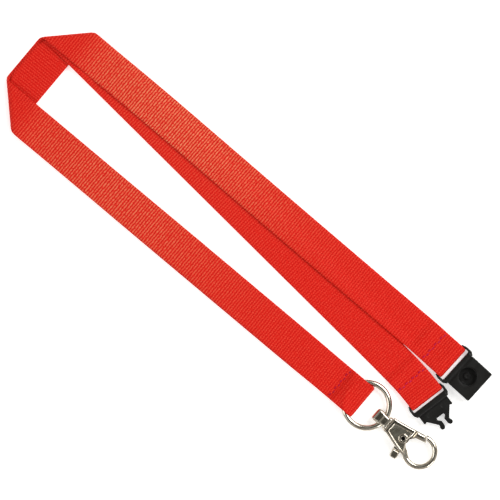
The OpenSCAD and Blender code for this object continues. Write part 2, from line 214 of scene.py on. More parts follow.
# Middle lines of the four stretches. The two single straps bend a little beside their buckles.
line_a = centre_line(socket_at[:2], [
    (0, socket_turn), (11, socket_turn), (18, 0.4), (80, 0.5), (110, 0.8), (150, 0.6), (175, -0.4)])
line_b = centre_line(plug_at[:2], [(2, plug_turn), (13, 6), (25, 5), (40, 4.75)])
ring_tip = ring_at + [0, -0.2]
line_upper = centre_line(ring_tip, [(16, 0), (28, 0.7), (40, 0), (90, 0), (120, -0.2), (150, 0)])
line_lower = centre_line(ring_tip, [(16, 0), (28, -0.9), (40, 0), (100, 0), (130, 0.2), (160, 0)])

# Every layer bends half round about a fold line under the corner, the outer one more widely.
fold_middle = 2 * layer
radius_outer = 1.5 * layer
radius_inner = 0.5 * layer
corner_inset = (radius_outer + ribbon_t / 2 - 0.2) * math.sqrt(2)
corner_sum = strap_low[0] + ring_at[1] + ribbon_w / 2 + corner_inset
squeeze = 1.25
slide_run = 4.5


def fold_for(radius, doubled, single):
    """Where the cross piece lies, and the fold lines at its two ends as (point, way out)."""
    y = doubled[1][-1, 1]
    x = corner_sum - y - math.pi * radius / math.sqrt(2)
    out_c = np.array([-1, -1]) / math.sqrt(2)
    lean = single[2][-1]
    out_s = np.array([-math.cos(lean), math.sin(lean) + 1])
    out_s /= np.linalg.norm(out_s)
    corner = np.array([x, np.interp(-x, -single[1][:, 0], single[1][:, 1])])
    back = math.pi * radius / 2
    return x, (np.array([x, y]) - out_c * back, out_c), (corner - out_s * back, out_s)


cross_outer, fold_upper, fold_a = fold_for(radius_outer, line_upper, line_a)
cross_inner, fold_lower, fold_b = fold_for(radius_inner, line_lower, line_b)


def lay(line, side, fold, radius, slide, far, across, height):
    """Places ribbon at a distance from its stretch's tip, folded over at the turn."""
    known, places, angles = line
    x, y, a = (np.interp(far, known, c) for c in (places[:, 0], places[:, 1], angles))
    place = np.stack([x + side * across * np.sin(a), y + side * across * np.cos(a)], -1)
    point, out = fold
    beyond = (place - point) @ out
    turned = np.clip(beyond / radius, 0, math.pi)
    kept = np.where(beyond <= 0, beyond, np.where(
        turned < math.pi, radius * np.sin(turned), math.pi * radius - beyond))
    place = place + (kept - beyond)[..., None] * out
    place[..., 0] += slide * eased(beyond / slide_run)
    return place, fold_middle + (height - fold_middle) * np.cos(turned)


def softened(corners, rounds=3):
    """A line through corner points with its corners cut, as distance and height."""
    line = np.array(corners, float)
    for _ in range(rounds):
        mid = np.empty((2 * len(line) - 2, 2))
        mid[0::2] = 0.75 * line[:-1] + 0.25 * line[1:]
        mid[1::2] = 0.25 * line[:-1] + 0.75 * line[1:]
        line = np.vstack([line[:1], mid, line[-1:]])
    return line


bar_radius = 0.7
bar_play = 0.17


def hem_path(run):
    """A loose end: from its cut edge, under and round the buckle's bar, and back over."""
    bar_z = socket_at[2]
    wrap = bar_radius + bar_play + ribbon_t / 2
    bends = [(-wrap * math.sin(a), bar_z - wrap * math.cos(a)) for a in
             np.linspace(0.15, math.pi - 0.35, 24)]
    under = softened([(13, 0.5), (6, 0.5), (2.5, 0.56), bends[0]])
    over = softened([bends[-1], (1.2, 3.25), (4.5, 2.35), (8, 1.5), (12, 1.5)])
    return np.vstack([under, bends[1:-1], over, [(run, 1.5)]])


turn_a = np.interp(-cross_outer, -line_a[1][:, 0], line_a[0])
turn_b = np.interp(-cross_inner, -line_b[1][:, 0], line_b[0])
turn_upper = np.interp(-cross_outer, -line_upper[1][:, 0], line_upper[0])
turn_lower = np.interp(-cross_inner, -line_lower[1][:, 0], line_lower[0])
half_way = (strap_high[1] - ribbon_w / 2 + ring_at[1]) / 2


def to_half_way(line, turn):
    """The distance from a stretch's tip, past the turn, to the middle of its cross piece."""
    return turn + abs(np.interp(turn, line[0], line[1][:, 1]) - half_way)


# The two doubled layers, and the way they part round the ring's wire at their ends.
pocket = softened([(24, 1.5), (13.5, 1.5), (12.6, 2.1), (11.3, 3.3), (7, 3.45), (3.6, 3.3),
                   (2.2, 2.9), (2.2, 1.6)])
pocket_under = softened([(2.2, 1.6), (2.2, 0.7), (3.2, 0.5), (24, 0.5)])
end_u, end_l = to_half_way(line_upper, turn_upper), to_half_way(line_lower, turn_lower)
stretches = [
    (line_a, -1, fold_a, radius_outer, 0, turn_a, hem_path(to_half_way(line_a, turn_a))),
    (line_upper, 1, fold_upper, radius_outer, 0, turn_upper,
     np.vstack([[(end_u, 1.5)], pocket])),
    (line_lower, 1, fold_lower, radius_inner, -squeeze, turn_lower,
     np.vstack([pocket_under, [(end_l, 0.5)]])),
    (line_b, -1, fold_b, radius_inner, -squeeze, turn_b,
     hem_path(to_half_way(line_b, turn_b))[::-1]),
]

# Rows across the ribbon, evenly spaced along its real length.
row_step = rib_pitch / rows_a_rib
# The columns crowd together towards the two selvedges.
columns = 33
half_w = ribbon_w / 2
crowding = 0.86
across = np.sin(np.linspace(-1, 1, columns) * math.pi / 2 * crowding)
across *= half_w / across[-1]
rows_far, rows_high, rows_part, rows_along = [], [], [], []
length = 0.0
for part, (*_, path) in enumerate(stretches):
    run = np.concatenate([[0], np.cumsum(np.hypot(*np.diff(path, axis=0).T))]) + length
    at = np.arange(math.ceil(length / row_step) * row_step, run[-1], row_step)
    rows_far.append(np.interp(at, run, path[:, 0]))
    rows_high.append(np.interp(at, run, path[:, 1]))
    rows_part.append(np.full(len(at), part))
    rows_along.append(at)
    length = run[-1]
rows_along = np.concatenate(rows_along)

# A painted highlight on the rib crests: strongest some way before the turn, less on the lower
# layers, and fading out near the folds.
highlight_centre_x, highlight_spread = ring_at[0] - 135, 56.0
edge_b = line_b[1] + half_w * np.column_stack([np.sin(line_b[2]), np.cos(line_b[2])])
top_levels = [level * layer for level in (3.5, 3.5, 2.5, 2.5)]
# How much painted highlight each of the four stretches gets, in the order of the stretches.
highlight_strengths = 1.0, 0.72, 0.3, 0.15
swelling, swelling_run = 0.76, 1.5
ripple_high = 0.16
middles, painted_highlight, calm = [], [], []
for part, (line, side, fold, radius, slide, turn, path) in enumerate(stretches):
    far, wide, high = np.broadcast_arrays(
        rows_far[part][:, None], across[None, :], rows_high[part][:, None])
    flat, _ = lay(line, side, fold, radius, slide, far, wide, high)
    if part in (0, 3):
        # Past its hem a single strap drops to the table, or lies on the strap below it.
        past = eased((far - 13.2) / 4) * (high > 1.4) * (high < 1.6)
        rest = 0.5 * layer
        if part == 0:
            over = np.interp(-flat[..., 0], -edge_b[:, 0], edge_b[:, 1]) - flat[..., 1]
            rest = rest + layer * eased((over + 5) / 6)
        high = high + (rest - high) * past
    elif part == 1:
        # The ring's wire shows through the pocket as a soft swelling.
        away = np.hypot(flat[..., 0] - ring_at[0], flat[..., 1] - ring_at[1]) - ring_r
        bump = np.exp(-(away / swelling_run) ** 2)
        high = high + swelling * bump * eased((high - 2) / 1.2)
    rise = eased((far - (turn - 21)) / 12)
    high = high + (top_levels[part] - high) * rise
    # Small waves that a ribbon keeps from being rolled up, the same in the layers that touch.
    wave = 0.5 + 0.5 * np.sin(flat[..., 0] / 11) * np.cos(flat[..., 0] / 29 + 1)
    high = high + ripple_high * wave * (1 - rise) * eased((far - 18) / 15)
    place, high = lay(line, side, fold, radius, slide, far, wide, high)
    middles.append(np.dstack([place, high]))
    # Painted highlight: a band across the straps, faded out towards the turn and its folds.
    highlight_here = highlight_strengths[part] * np.exp(-((place[..., 0] - highlight_centre_x) / highlight_spread) ** 2)
    painted_highlight.append(highlight_here * (1 - 0.85 * eased((far - turn + 17) / 12)))
    calm.append(1 - 0.45 * rise)
middles, painted_highlight, calm = (np.concatenate(parts) for parts in (middles, painted_highlight, calm))

down_s = np.gradient(middles, axis=0)
down_t = np.gradient(middles, axis=1)
facing = np.cross(down_s, down_t)
facing /= np.linalg.norm(facing, axis=2)[..., None]
sideways = down_t / np.linalg.norm(down_t, axis=2)[..., None]

# Each rib is a round ridge over the filling cords; the selvedge thins towards the edge.
ridge = np.abs(np.cos(math.pi * rows_along / rib_pitch)) ** 0.6 - 0.65
selvedge = 0.55 + 0.45 * eased((half_w - np.abs(across)) / 0.7)
half_t = ribbon_t / 2 * selvedge[None, :] + rib_high * calm * ridge[:, None] * eased(
    (half_w - np.abs(across)) / 0.5)[None, :]
# The warp passes over every other rib, so each rib is a row of beads, some slacker than others.
rib_index = np.round(rows_along / rib_pitch).astype(int)
over_under = np.where((rib_index[:, None] + np.arange(columns)[None, :]) % 2, -1, 1)
half_t += pebble * (0.3 * over_under * np.clip(ridge + 0.4, 0, 1)[:, None]
                    + np.random.default_rng(11).random(half_t.shape) - 0.5)
upper = middles + facing * half_t[..., None]
lower = middles - facing * half_t[..., None]
edge_round = 0.1
bulge = edge_round * sideways
left = middles[:, :1] - bulge[:, :1]
right = middles[:, -1:] + bulge[:, -1:]
loop = np.concatenate([upper, right, lower[:, ::-1], left], axis=1)
row_count, loop_count = loop.shape[:2]
loop_across = np.concatenate([across, [half_w], across[::-1], [-half_w]])
loop_highlight = np.concatenate([painted_highlight, painted_highlight[:, -1:], painted_highlight[:, ::-1], painted_highlight[:, :1]], axis=1)


def quads_round(rows, around):
    """Faces of a tube of rows, with its two open ends left open."""
    i, j = np.meshgrid(np.arange(rows - 1), np.arange(around), indexing="ij")
    k = (j + 1) % around
    return np.stack([i * around + j, (i + 1) * around + j, (i + 1) * around + k, i * around + k],
                    -1).reshape(-1, 4)


def new_piece(name, places, faces, finish, body, stands_for=(), attributes=None):
    """A smooth mesh piece from places in millimetres, riding on its body."""
    mesh = bpy.data.meshes.new(name)
    mesh.from_pydata((np.asarray(places, float) * MM).tolist(), [], [list(f) for f in faces])
    mesh.materials.append(finish)
    for label, values in (attributes or {}).items():
        mesh.attributes.new(label, "FLOAT", "POINT").data.foreach_set(
            "value", np.asarray(values, np.float32))
    mesh.shade_smooth()
    piece = bpy.data.objects.new(name, mesh)
    scene.collection.objects.link(piece)
    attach(piece, body)
    if stands_for:
        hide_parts(*stands_for)
    return piece


# Ribbed polyester dyed bright red, its warp yarns 0.47 mm apart. Painted shade darkens the furrows
# between the ribs, and a painted highlight with scattered painted glints turns the crests pale
# orange.
webbing_finish, tree = new_finish("ribbed_polyester_webbing")
along = add(tree, "Attribute", {"attribute_name": "along"})
wide = add(tree, "Attribute", {"attribute_name": "across"})
highlight_mask = add(tree, "Attribute", {"attribute_name": "painted_highlight"})
cloth_place = add(tree, "CombineXYZ",
                  inputs={"X": along.outputs["Fac"], "Y": wide.outputs["Fac"]})
stray = add(tree, "TexNoise",
            inputs={"Vector": cloth_place.outputs[0], "Scale": 0.7, "Detail": 1})
drift = add(tree, "Math", {"operation": "MULTIPLY_ADD"},
            {0: stray.outputs["Fac"], 1: 0.5, 2: along.outputs["Fac"]})
turns = add(tree, "Math", {"operation": "MULTIPLY"}, {0: drift.outputs[0], 1: math.tau / rib_pitch})
crest = add(tree, "Math", {"operation": "COSINE"}, {0: turns.outputs[0]})
rib_row = add(tree, "Math", {"operation": "DIVIDE"}, {0: along.outputs["Fac"], 1: rib_pitch})
rib_no = add(tree, "Math", {"operation": "ROUND"}, {0: rib_row.outputs[0]})
half_turn = add(tree, "Math", {"operation": "MULTIPLY"}, {0: rib_no.outputs[0], 1: math.pi})
yarns = add(tree, "Math", {"operation": "MULTIPLY_ADD"},
            {0: wide.outputs["Fac"], 1: math.tau / (2 * yarn_pitch), 2: half_turn.outputs[0]})
float_over = add(tree, "Math", {"operation": "COSINE"}, {0: yarns.outputs[0]})
blotch = add(tree, "TexNoise", inputs={"Vector": cloth_place.outputs[0], "Scale": 1.9, "Detail": 2,
                                       "Roughness": 0.6})
# Noise for scattered painted glints on the crests.
painted_glint = add(tree, "TexNoise", inputs={"Vector": cloth_place.outputs[0], "Scale": 1.15, "Detail": 1})
# Painted shade: the base colour goes darker red in the furrows between the ribs and lighter on the
# crests, mixed with the float pattern and random blotches.
furrow_shade = add(tree, "Math", {"operation": "MULTIPLY_ADD"}, {0: crest.outputs[0], 1: 0.11, 2: 0.1})
weave_2 = add(tree, "Math", {"operation": "MULTIPLY_ADD"},
              {0: float_over.outputs[0], 1: 0.06, 2: furrow_shade.outputs[0]})
weave_3 = add(tree, "Math", {"operation": "MULTIPLY_ADD"},
              {0: blotch.outputs["Fac"], 1: 0.8, 2: weave_2.outputs[0]})
red = blend(tree, weave_3.outputs[0], ((0.2, "B80604"), (0.5, "D71A0E"), (0.85, "EE4E3C")))
# Painted highlight: the crests go pale orange, with painted glints, where the highlight attribute
# is high.
on_crest = add(tree, "MapRange", {"interpolation_type": "SMOOTHSTEP"},
               {"Value": crest.outputs[0], "From Min": -0.8, "From Max": 0.9})
spark = add(tree, "MapRange",
            inputs={"Value": painted_glint.outputs["Fac"], "From Min": 0.34, "From Max": 0.66,
                    "To Min": 0.12, "To Max": 1.15})
lit = add(tree, "Math", {"operation": "MULTIPLY"},
          {0: on_crest.outputs[0], 1: spark.outputs["Result"]})
pale = add(tree, "Math", {"operation": "MULTIPLY", "use_clamp": True},
           {0: lit.outputs[0], 1: highlight_mask.outputs["Fac"]})
cloth = add(tree, "MixRGB", inputs={"Fac": pale.outputs[0], "Color1": red.outputs["Color"],
                                    "Color2": tone("E8845E")})
height = add(tree, "Math", {"operation": "MULTIPLY_ADD"},
             {0: float_over.outputs[0], 1: 0.5, 2: blotch.outputs["Fac"]})
dent = add(tree, "Bump", inputs={"Height": height.outputs[0], "Strength": 0.5, "Distance": 0.00005})
close_finish(tree, {
    "Base Color": cloth.outputs["Color"], "Roughness": 0.68, "Specular IOR Level": 0.12,
    "Sheen Weight": 0.06, "Sheen Roughness": 0.4, "Sheen Tint": tone("FF8A60"),
    "Normal": dent.outputs["Normal"]})

faces = quads_round(row_count, loop_count).tolist()
faces += [list(range(loop_count)),
          [(row_count - 1) * loop_count + j for j in range(loop_count)][::-1]]
strap = new_piece(
    "webbing_strap", loop.reshape(-1, 3), faces, webbing_finish, "strap", ["webbing"],
    {"along": np.repeat(rows_along, loop_count), "across": np.tile(loop_across, row_count),
     "painted_highlight": loop_highlight.ravel()})

# ---------------------------------------------------------------------------------------------
# The stitching: one lockstitch row of two-ply polyester thread across each end of the strap, run
# in a slightly off shade. The needle thread lies on top and the bobbin thread underneath.
# ---------------------------------------------------------------------------------------------
stitch_count = 8
stitch_pitch = 1.72
stitch_reach = 1.4
stitch_sway = 0.24
thread_r = 0.23
thread_rows, thread_sides = 15, 10
top_sink, under_sink, under_z = 0.32, 0.1, 0.04
end_seam_back = 8.75
ring_seam_back = 14.0


def thread_arc(line, far, across_at, top, sink, side):
    """One stitch: a twisted thread that comes out of the ribbon, crosses it and goes back in."""
    known, places, angles = line
    middle = np.array([np.interp(far, known, places[:, i]) for i in (0, 1)])
    angle = np.interp(far, known, angles)
    wide = np.array([math.sin(angle), math.cos(angle), 0])
    back = np.array([math.cos(angle), -math.sin(angle), 0])
    up = np.array([0, 0, side])
    rows = np.linspace(-1, 1, thread_rows)
    reach, dip = stitch_reach / 2, np.abs(rows) ** 4 * sink
    centres = (np.append(middle, top) + wide * (across_at + rows * reach)[:, None]
               - up * (thread_r + dip)[:, None])
    turn = np.linspace(0, math.tau, thread_sides, endpoint=False)
    plies = thread_r * (1 + 0.16 * np.cos(2 * (turn[None, :] - 3.2 * rows[:, None])))
    ring = (plies * np.cos(turn))[..., None] * back + (plies * np.sin(turn))[..., None] * up
    return (centres[:, None, :] + ring).reshape(-1, 3)


def lockstitch(name, finish, line, far, stands_for):
    """A row of stitches through the ribbon, seen on its top and on its underside."""
    top_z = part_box(stands_for)[1][2] / MM
    places, faces = [], []
    around = list(range(thread_sides))
    last_row = (thread_rows - 1) * thread_sides
    for side, level, sink, shift in ((1, top_z, top_sink, 0), (-1, under_z, under_sink, 0.5)):
        for i in range(stitch_count - (side < 0)):
            across_at = (i + shift - (stitch_count - 1) / 2) * stitch_pitch
            sway = stitch_sway * (-1) ** i
            start = len(places) * thread_rows * thread_sides
            places.append(thread_arc(line, far + sway, across_at, level, sink, side))
            faces += (quads_round(thread_rows, thread_sides)[:, ::side] + start).tolist()
            faces += [[start + k for k in around[::side]],
                      [start + last_row + k for k in around[::-side]]]
    return new_piece(name, np.concatenate(places), faces, finish, "strap", [stands_for])


def thread_finish(name, shade, light):
    """Spun polyester thread: a soft sheen, lighter along the ply that faces up."""
    made, tree = new_finish(name)
    place = add(tree, "TexCoord")
    fuzz = add(tree, "TexNoise",
               inputs={"Vector": place.outputs["Object"], "Scale": 2500, "Detail": 2})
    colour = blend(tree, fuzz.outputs["Fac"], ((0.3, shade), (0.7, light)))
    dent = add(tree, "Bump",
               inputs={"Height": fuzz.outputs["Fac"], "Strength": 0.5, "Distance": 0.00005})
    close_finish(tree, {
        "Base Color": colour.outputs["Color"], "Roughness": 0.6, "Specular IOR Level": 0.12,
        "Normal": dent.outputs["Normal"]})
    return made


crimson_thread = thread_finish("crimson_polyester_thread", "A60A38", "D42A58")
dark_red_thread = thread_finish("dark_red_polyester_thread", "8A0424", "C01C44")
lockstitch("seam_at_socket", crimson_thread, line_a, end_seam_back, "seam_socket_end")
lockstitch("seam_at_plug", crimson_thread, line_b, end_seam_back, "seam_plug_end")
lockstitch("seam_at_ring", dark_red_thread, line_upper, ring_seam_back, "seam_ring_end")

# ---------------------------------------------------------------------------------------------
# The buckle's socket half: injection moulded black acetal with a fine spark-eroded skin. A round
# bar for the webbing, a raised second bar, and a flat case whose round window shows the catch
# chamber that the plug's heads snap into.
# ---------------------------------------------------------------------------------------------
loop_half_w = 8.65
side_w = 1.0
loop_thick = 2.8


def skin(field, low, step):
    """The surface where a field of distances crosses nought, as places and four-sided faces."""
    inside = field < 0
    cells, crossings, quads = [], [], []
    for axis in range(3):
        near, distant = [slice(None)] * 3, [slice(None)] * 3
        near[axis], distant[axis] = slice(None, -1), slice(1, None)
        near, distant = tuple(near), tuple(distant)
        at = np.argwhere(inside[near] != inside[distant])
        v0, v1 = field[near][tuple(at.T)], field[distant][tuple(at.T)]
        crossing = at.astype(float)
        crossing[:, axis] += v0 / (v0 - v1)
        around = []
        for du, dv in ((0, 0), (1, 0), (1, 1), (0, 1)):
            cell = at.copy()
            cell[:, (axis + 1) % 3] -= du
            cell[:, (axis + 2) % 3] -= dv
            around.append(np.ravel_multi_index(cell.T, field.shape))
            crossings.append(crossing)
        quad = np.stack(around, 1)
        cells += around
        quads.append(np.where((v0 < 0)[:, None], quad, quad[:, ::-1]))
    kept, vertex = np.unique(np.concatenate(cells), return_inverse=True)
    crossings = np.concatenate(crossings)
    count = np.bincount(vertex)
    places = np.column_stack([np.bincount(vertex, crossings[:, i]) / count for i in range(3)])
    return places * step + low, np.searchsorted(kept, np.concatenate(quads))


def outline(corners, x, y):
    """Signed distance from a flat shape with straight sides, negative inside it."""
    shape = np.broadcast(x, y).shape
    near, within = np.full(shape, np.inf), np.zeros(shape, bool)
    for (ax, ay), (bx, by) in zip(corners, corners[1:] + corners[:1]):
        px, py, ex, ey = x - ax, y - ay, bx - ax, by - ay
        t = np.clip((px * ex + py * ey) / (ex * ex + ey * ey), 0, 1)
        near = np.minimum(near, (px - ex * t) ** 2 + (py - ey * t) ** 2)
        within ^= ((ay > y) != (by > y)) & ((px * ey < ex * py) == (ey > 0))
    return np.where(within, -1, 1) * np.sqrt(near)


def rounded(u, v, edge):
    """Signed distance from a right-angled corner whose faces u = v = edge, rounded off."""
    return np.hypot(np.maximum(u, 0), np.maximum(v, 0)) + np.minimum(np.maximum(u, v), 0) - edge


def plate(x, y, low, high, corner):
    """Signed distance from a rectangle with round corners."""
    ox = np.abs(x - (low[0] + high[0]) / 2) - (high[0] - low[0]) / 2 + corner
    oy = np.abs(y - (low[1] + high[1]) / 2) - (high[1] - low[1]) / 2 + corner
    return rounded(ox, oy, corner)


def slab(plan, z, half, edge):
    """A flat shape given a thickness, with its edges rounded."""
    return rounded(plan + edge, np.abs(z) - half + edge, edge)


def melt(a, b, soft):
    """Two shapes joined with a fillet."""
    h = np.clip(0.5 + 0.5 * (b - a) / soft, 0, 1)
    return b + (a - b) * h - soft * h * (1 - h)


def carve(a, b, soft):
    """One shape cut out of another, with the edge broken."""
    return -melt(-a, b, soft)


def formed(name, shape, low, high, step, turn, at, finish, body, stands_for):
    """A piece skinned from the distances of its shape in its own frame, then put in its place."""
    grid = np.meshgrid(*[np.arange(a, b + step, step) for a, b in zip(low, high)],
                       indexing="ij", sparse=True)
    places, faces = skin(shape(*grid), np.array(low), step)
    c, s = math.cos(math.radians(turn)), math.sin(math.radians(turn))
    places = places @ np.array([[c, -s, 0], [s, c, 0], [0, 0, 1]]) + at
    return new_piece(name, places, faces.tolist(), finish, body, stands_for)


def webbing_loop(x, y, z, slot_end, step_end):
    """The frame that the ribbon passes through: a round bar, two side bars and a second bar."""
    inside = loop_half_w - side_w
    frame_plan = np.maximum(
        plate(x, y, (-bar_radius, -loop_half_w), (step_end, loop_half_w), 2 * side_w),
        -plate(x, y, (-4, -inside), (slot_end, inside), 0.6))
    frame_shape = slab(frame_plan, z, loop_thick / 2, 0.48)
    bar = np.maximum(np.hypot(x, z) - bar_radius, np.abs(y) - inside - side_w / 2)
    return melt(frame_shape, bar, 0.4)


def socket_shape(x, y, z):
    case_from, mouth, catch_x, catch_r = 5.2, 16.2, 9.4, 3.7
    case_half_w, case_half = 7.3, 2.0
    channel = 1.2
    shape = webbing_loop(x, y, z, 3.2, 5.2)
    ridge = np.hypot((x - 4.15) / 1.02, (np.abs(z) - 0.55) / 1.05) - 1
    ridge = np.maximum(ridge, np.abs(y) - 7.9 + 0.3 * z * z)
    shape = melt(shape, ridge, 0.35)
    case = slab(plate(x, y, (case_from, -case_half_w), (mouth, case_half_w), 0.55), z, case_half,
                0.32)
    shape = melt(shape, case, 0.3)
    groove = np.hypot(x - 5.32, np.abs(z) - 1.95) - 0.42
    shape = carve(shape, np.maximum(groove, np.abs(y) - 7.6), 0.12)
    funnel = outline([(catch_x, 2.75), (12.2, 2.75), (16.9, 6.3), (16.9, -6.3), (12.2, -2.75),
                      (catch_x, -2.75)], x, y)
    shape = carve(shape, np.maximum(funnel, np.abs(z) - channel), 0.15)
    away = np.hypot(x - catch_x, y)
    window = np.maximum(away - catch_r, -channel - z)
    shape = carve(shape, window, 0.25)
    # A shallow lip runs round the window, and a moulding pip stands on the chamber's floor.
    lip = np.hypot(away - catch_r - 0.15, z - case_half) - 0.24
    shape = carve(shape, lip, 0.15)
    button = slab(away - 1.45, z + 1.1, 0.32, 0.15)
    dimple = np.hypot(away, z + 0.55) - 0.5
    return melt(shape, carve(button, dimple, 0.1), 0.12)


# Acetal moulded against a spark-eroded tool: charcoal black with a fine matt grain that turns
# grey where an edge catches the light, and a few flatter, shinier patches from handling.
acetal, tree = new_finish("black_moulded_acetal")
place = add(tree, "TexCoord")
grain = add(tree, "TexNoise", inputs={"Vector": place.outputs["Object"], "Scale": 7500, "Detail": 2,
                                      "Roughness": 0.6})
handled = add(tree, "TexNoise",
              inputs={"Vector": place.outputs["Object"], "Scale": 260, "Detail": 2})
black = blend(tree, grain.outputs["Fac"], ((0.3, "090908"), (0.75, "1C1B19")))
gloss = add(tree, "MapRange",
            inputs={"Value": handled.outputs["Fac"], "From Min": 0.35, "From Max": 0.65,
                    "To Min": 0.38, "To Max": 0.52})
dent = add(tree, "Bump",
           inputs={"Height": grain.outputs["Fac"], "Strength": 0.5, "Distance": 0.00003})
close_finish(tree, {
    "Base Color": black.outputs["Color"], "Roughness": gloss.outputs["Result"],
    "Specular IOR Level": 0.24, "IOR": 1.48, "Normal": dent.outputs["Normal"]})

plastic_step = 0.11
formed("socket_half", socket_shape, (-1.1, -9.1, -2.3), (16.7, 9.1, 2.3), plastic_step, socket_turn,
       socket_at, acetal, "socket_half", ["buckle_socket"])

# ---------------------------------------------------------------------------------------------
# The buckle's plug half, from the same black acetal: the same webbing loop, a plate with ejector
# marks, and two springy arms whose round heads snap into the socket under a pull.
# ---------------------------------------------------------------------------------------------


def plug_shape(x, y, z):
    plate_from, plug_shoulder, half_w = 4.05, 8.55, 7.1
    tongue = 1.1
    root, heads = plug_shoulder + 4, plug_shoulder + 5.6
    shape = webbing_loop(x, y, z, 2.75, 5.05)
    ridge = np.hypot((x - 3.95) / 1.1, (np.abs(z) - 0.5) / 1.0) - 1
    ridge = np.maximum(ridge, np.abs(y) - 7.9 + 0.3 * z * z)
    shape = melt(shape, ridge, 0.35)
    plan = plate(x, y, (plate_from, -half_w), (plug_shoulder, half_w), 0.5)
    arms = outline([
        (plug_shoulder - 1, -5.9), (plug_shoulder, -5.9), (root, -2.6), (heads, -2.55),
        (heads, 2.55), (root, 2.6), (plug_shoulder, 5.9), (plug_shoulder - 1, 5.9)], x, y)
    plan = melt(plan, arms, 0.3)
    bumps = np.hypot(x - plug_shoulder + 0.1, np.abs(y) - half_w + 0.45) - 0.5
    plan = melt(plan, bumps, 0.25)
    plan = melt(plan, np.hypot(x - heads, np.abs(y) - 1.95) - 1.0, 0.3)
    gap = outline([
        (plug_shoulder + 1.3, -1.7), (plug_shoulder + 2.2, -1.9), (plug_shoulder + 3.4, -0.7),
        (heads + 1.4, -0.85), (heads + 1.4, 0.85), (plug_shoulder + 3.4, 0.7),
        (plug_shoulder + 2.2, 1.9), (plug_shoulder + 1.3, 1.7)], x, y)
    plan = carve(plan, gap, 0.2)
    shape = melt(shape, slab(plan, z, tongue, 0.26), 0.25)
    groove = np.hypot(x - 5.3, np.abs(z) - 1.15) - 0.3
    shape = carve(shape, np.maximum(groove, np.abs(y) - 7.4), 0.1)
    marks = np.maximum(np.hypot(x - 7.1, np.abs(y) - 3.4) - 0.8, 1.0 - np.abs(z))
    return carve(shape, marks, 0.08)


formed("plug_half", plug_shape, (-1.1, -9.1, -1.8), (15.6, 9.1, 1.8), plastic_step, plug_turn,
       plug_at, acetal, "plug_half", ["buckle_plug"])

# ---------------------------------------------------------------------------------------------
# The ring: 2.4 mm steel wire bent round, butt welded and nickel plated. Its weld sits
# inside the ribbon's pocket.
# ---------------------------------------------------------------------------------------------
ring_steps, wire_steps = 224, 36

# Bright nickel over polished steel or zinc: warm grey metal that mirrors its room in bands, with
# faint ripples from the polishing wheel and a haze of fine handling scratches.
nickel, tree = new_finish("bright_nickel_plate")
place = add(tree, "TexCoord")
ripple = add(tree, "TexNoise",
             inputs={"Vector": place.outputs["Object"], "Scale": 420, "Detail": 2})
haze = add(tree, "TexNoise", inputs={"Vector": place.outputs["Object"], "Scale": 2600, "Detail": 4,
                                     "Roughness": 0.7})
metal_tone = blend(tree, ripple.outputs["Fac"], ((0.3, "BDB4A5"), (0.7, "D6D0C3")))
polish = add(tree, "MapRange",
             inputs={"Value": haze.outputs["Fac"], "From Min": 0.3, "From Max": 0.75,
                     "To Min": 0.1, "To Max": 0.24})
dent = add(tree, "Bump",
           inputs={"Height": ripple.outputs["Fac"], "Strength": 0.25, "Distance": 0.0002})
close_finish(tree, {
    "Base Color": metal_tone.outputs["Color"], "Metallic": 1.0,
    "Roughness": polish.outputs["Result"], "Normal": dent.outputs["Normal"]})

round_ring = np.linspace(0, math.tau, ring_steps, endpoint=False)
round_wire = np.linspace(0, math.tau, wire_steps, endpoint=False)
# The weld is a low bead with a faint waist on either side.
weld_angle, weld_high, weld_waist = 0.05, 0.05, 0.04
off_weld = (np.abs(round_ring - math.pi) / weld_angle) ** 2
wire_now = ring_wire / 2 * (
    1 + weld_high * np.exp(-off_weld) - weld_waist * np.exp(-(off_weld - 4) ** 2))
reach = ring_r + wire_now[:, None] * np.cos(round_wire)
ring_places = np.dstack([ring_at[0] + reach * np.cos(round_ring)[:, None],
                         ring_at[1] + reach * np.sin(round_ring)[:, None],
                         (ring_low[2] + ring_high[2]) / 2 + wire_now[:, None] * np.sin(round_wire)])
ring_faces = quads_round(ring_steps + 1, wire_steps) % (ring_steps * wire_steps)
new_piece("welded_ring", ring_places.reshape(-1, 3), ring_faces.tolist(), nickel, "ring",
          ["o_ring"])

# ---------------------------------------------------------------------------------------------
# The swivel eye: a nickel-plated zinc casting closed round the ring's wire, with a facetted knob
# and a flange, whose stud is peened over inside the hook's shoulder and turns there.
# ---------------------------------------------------------------------------------------------
hook_turn = math.degrees(math.asin(-joint["hook_swivel"]["axis"][1]))
hook_low, hook_high = (np.array(c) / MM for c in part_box("hook_body"))
hook_mid_z = (hook_low[2] + hook_high[2]) / 2
bow_from_ring = 28.5
hook_at = np.array([ring_at[0] + bow_from_ring * math.cos(math.radians(hook_turn)),
                    ring_at[1] - bow_from_ring * math.sin(math.radians(hook_turn)), hook_mid_z])
wire_back = 19.3
flat_half = 2.32
stud_r, stud_head_r, stud_head_x = 1.1, 1.75, -14.8


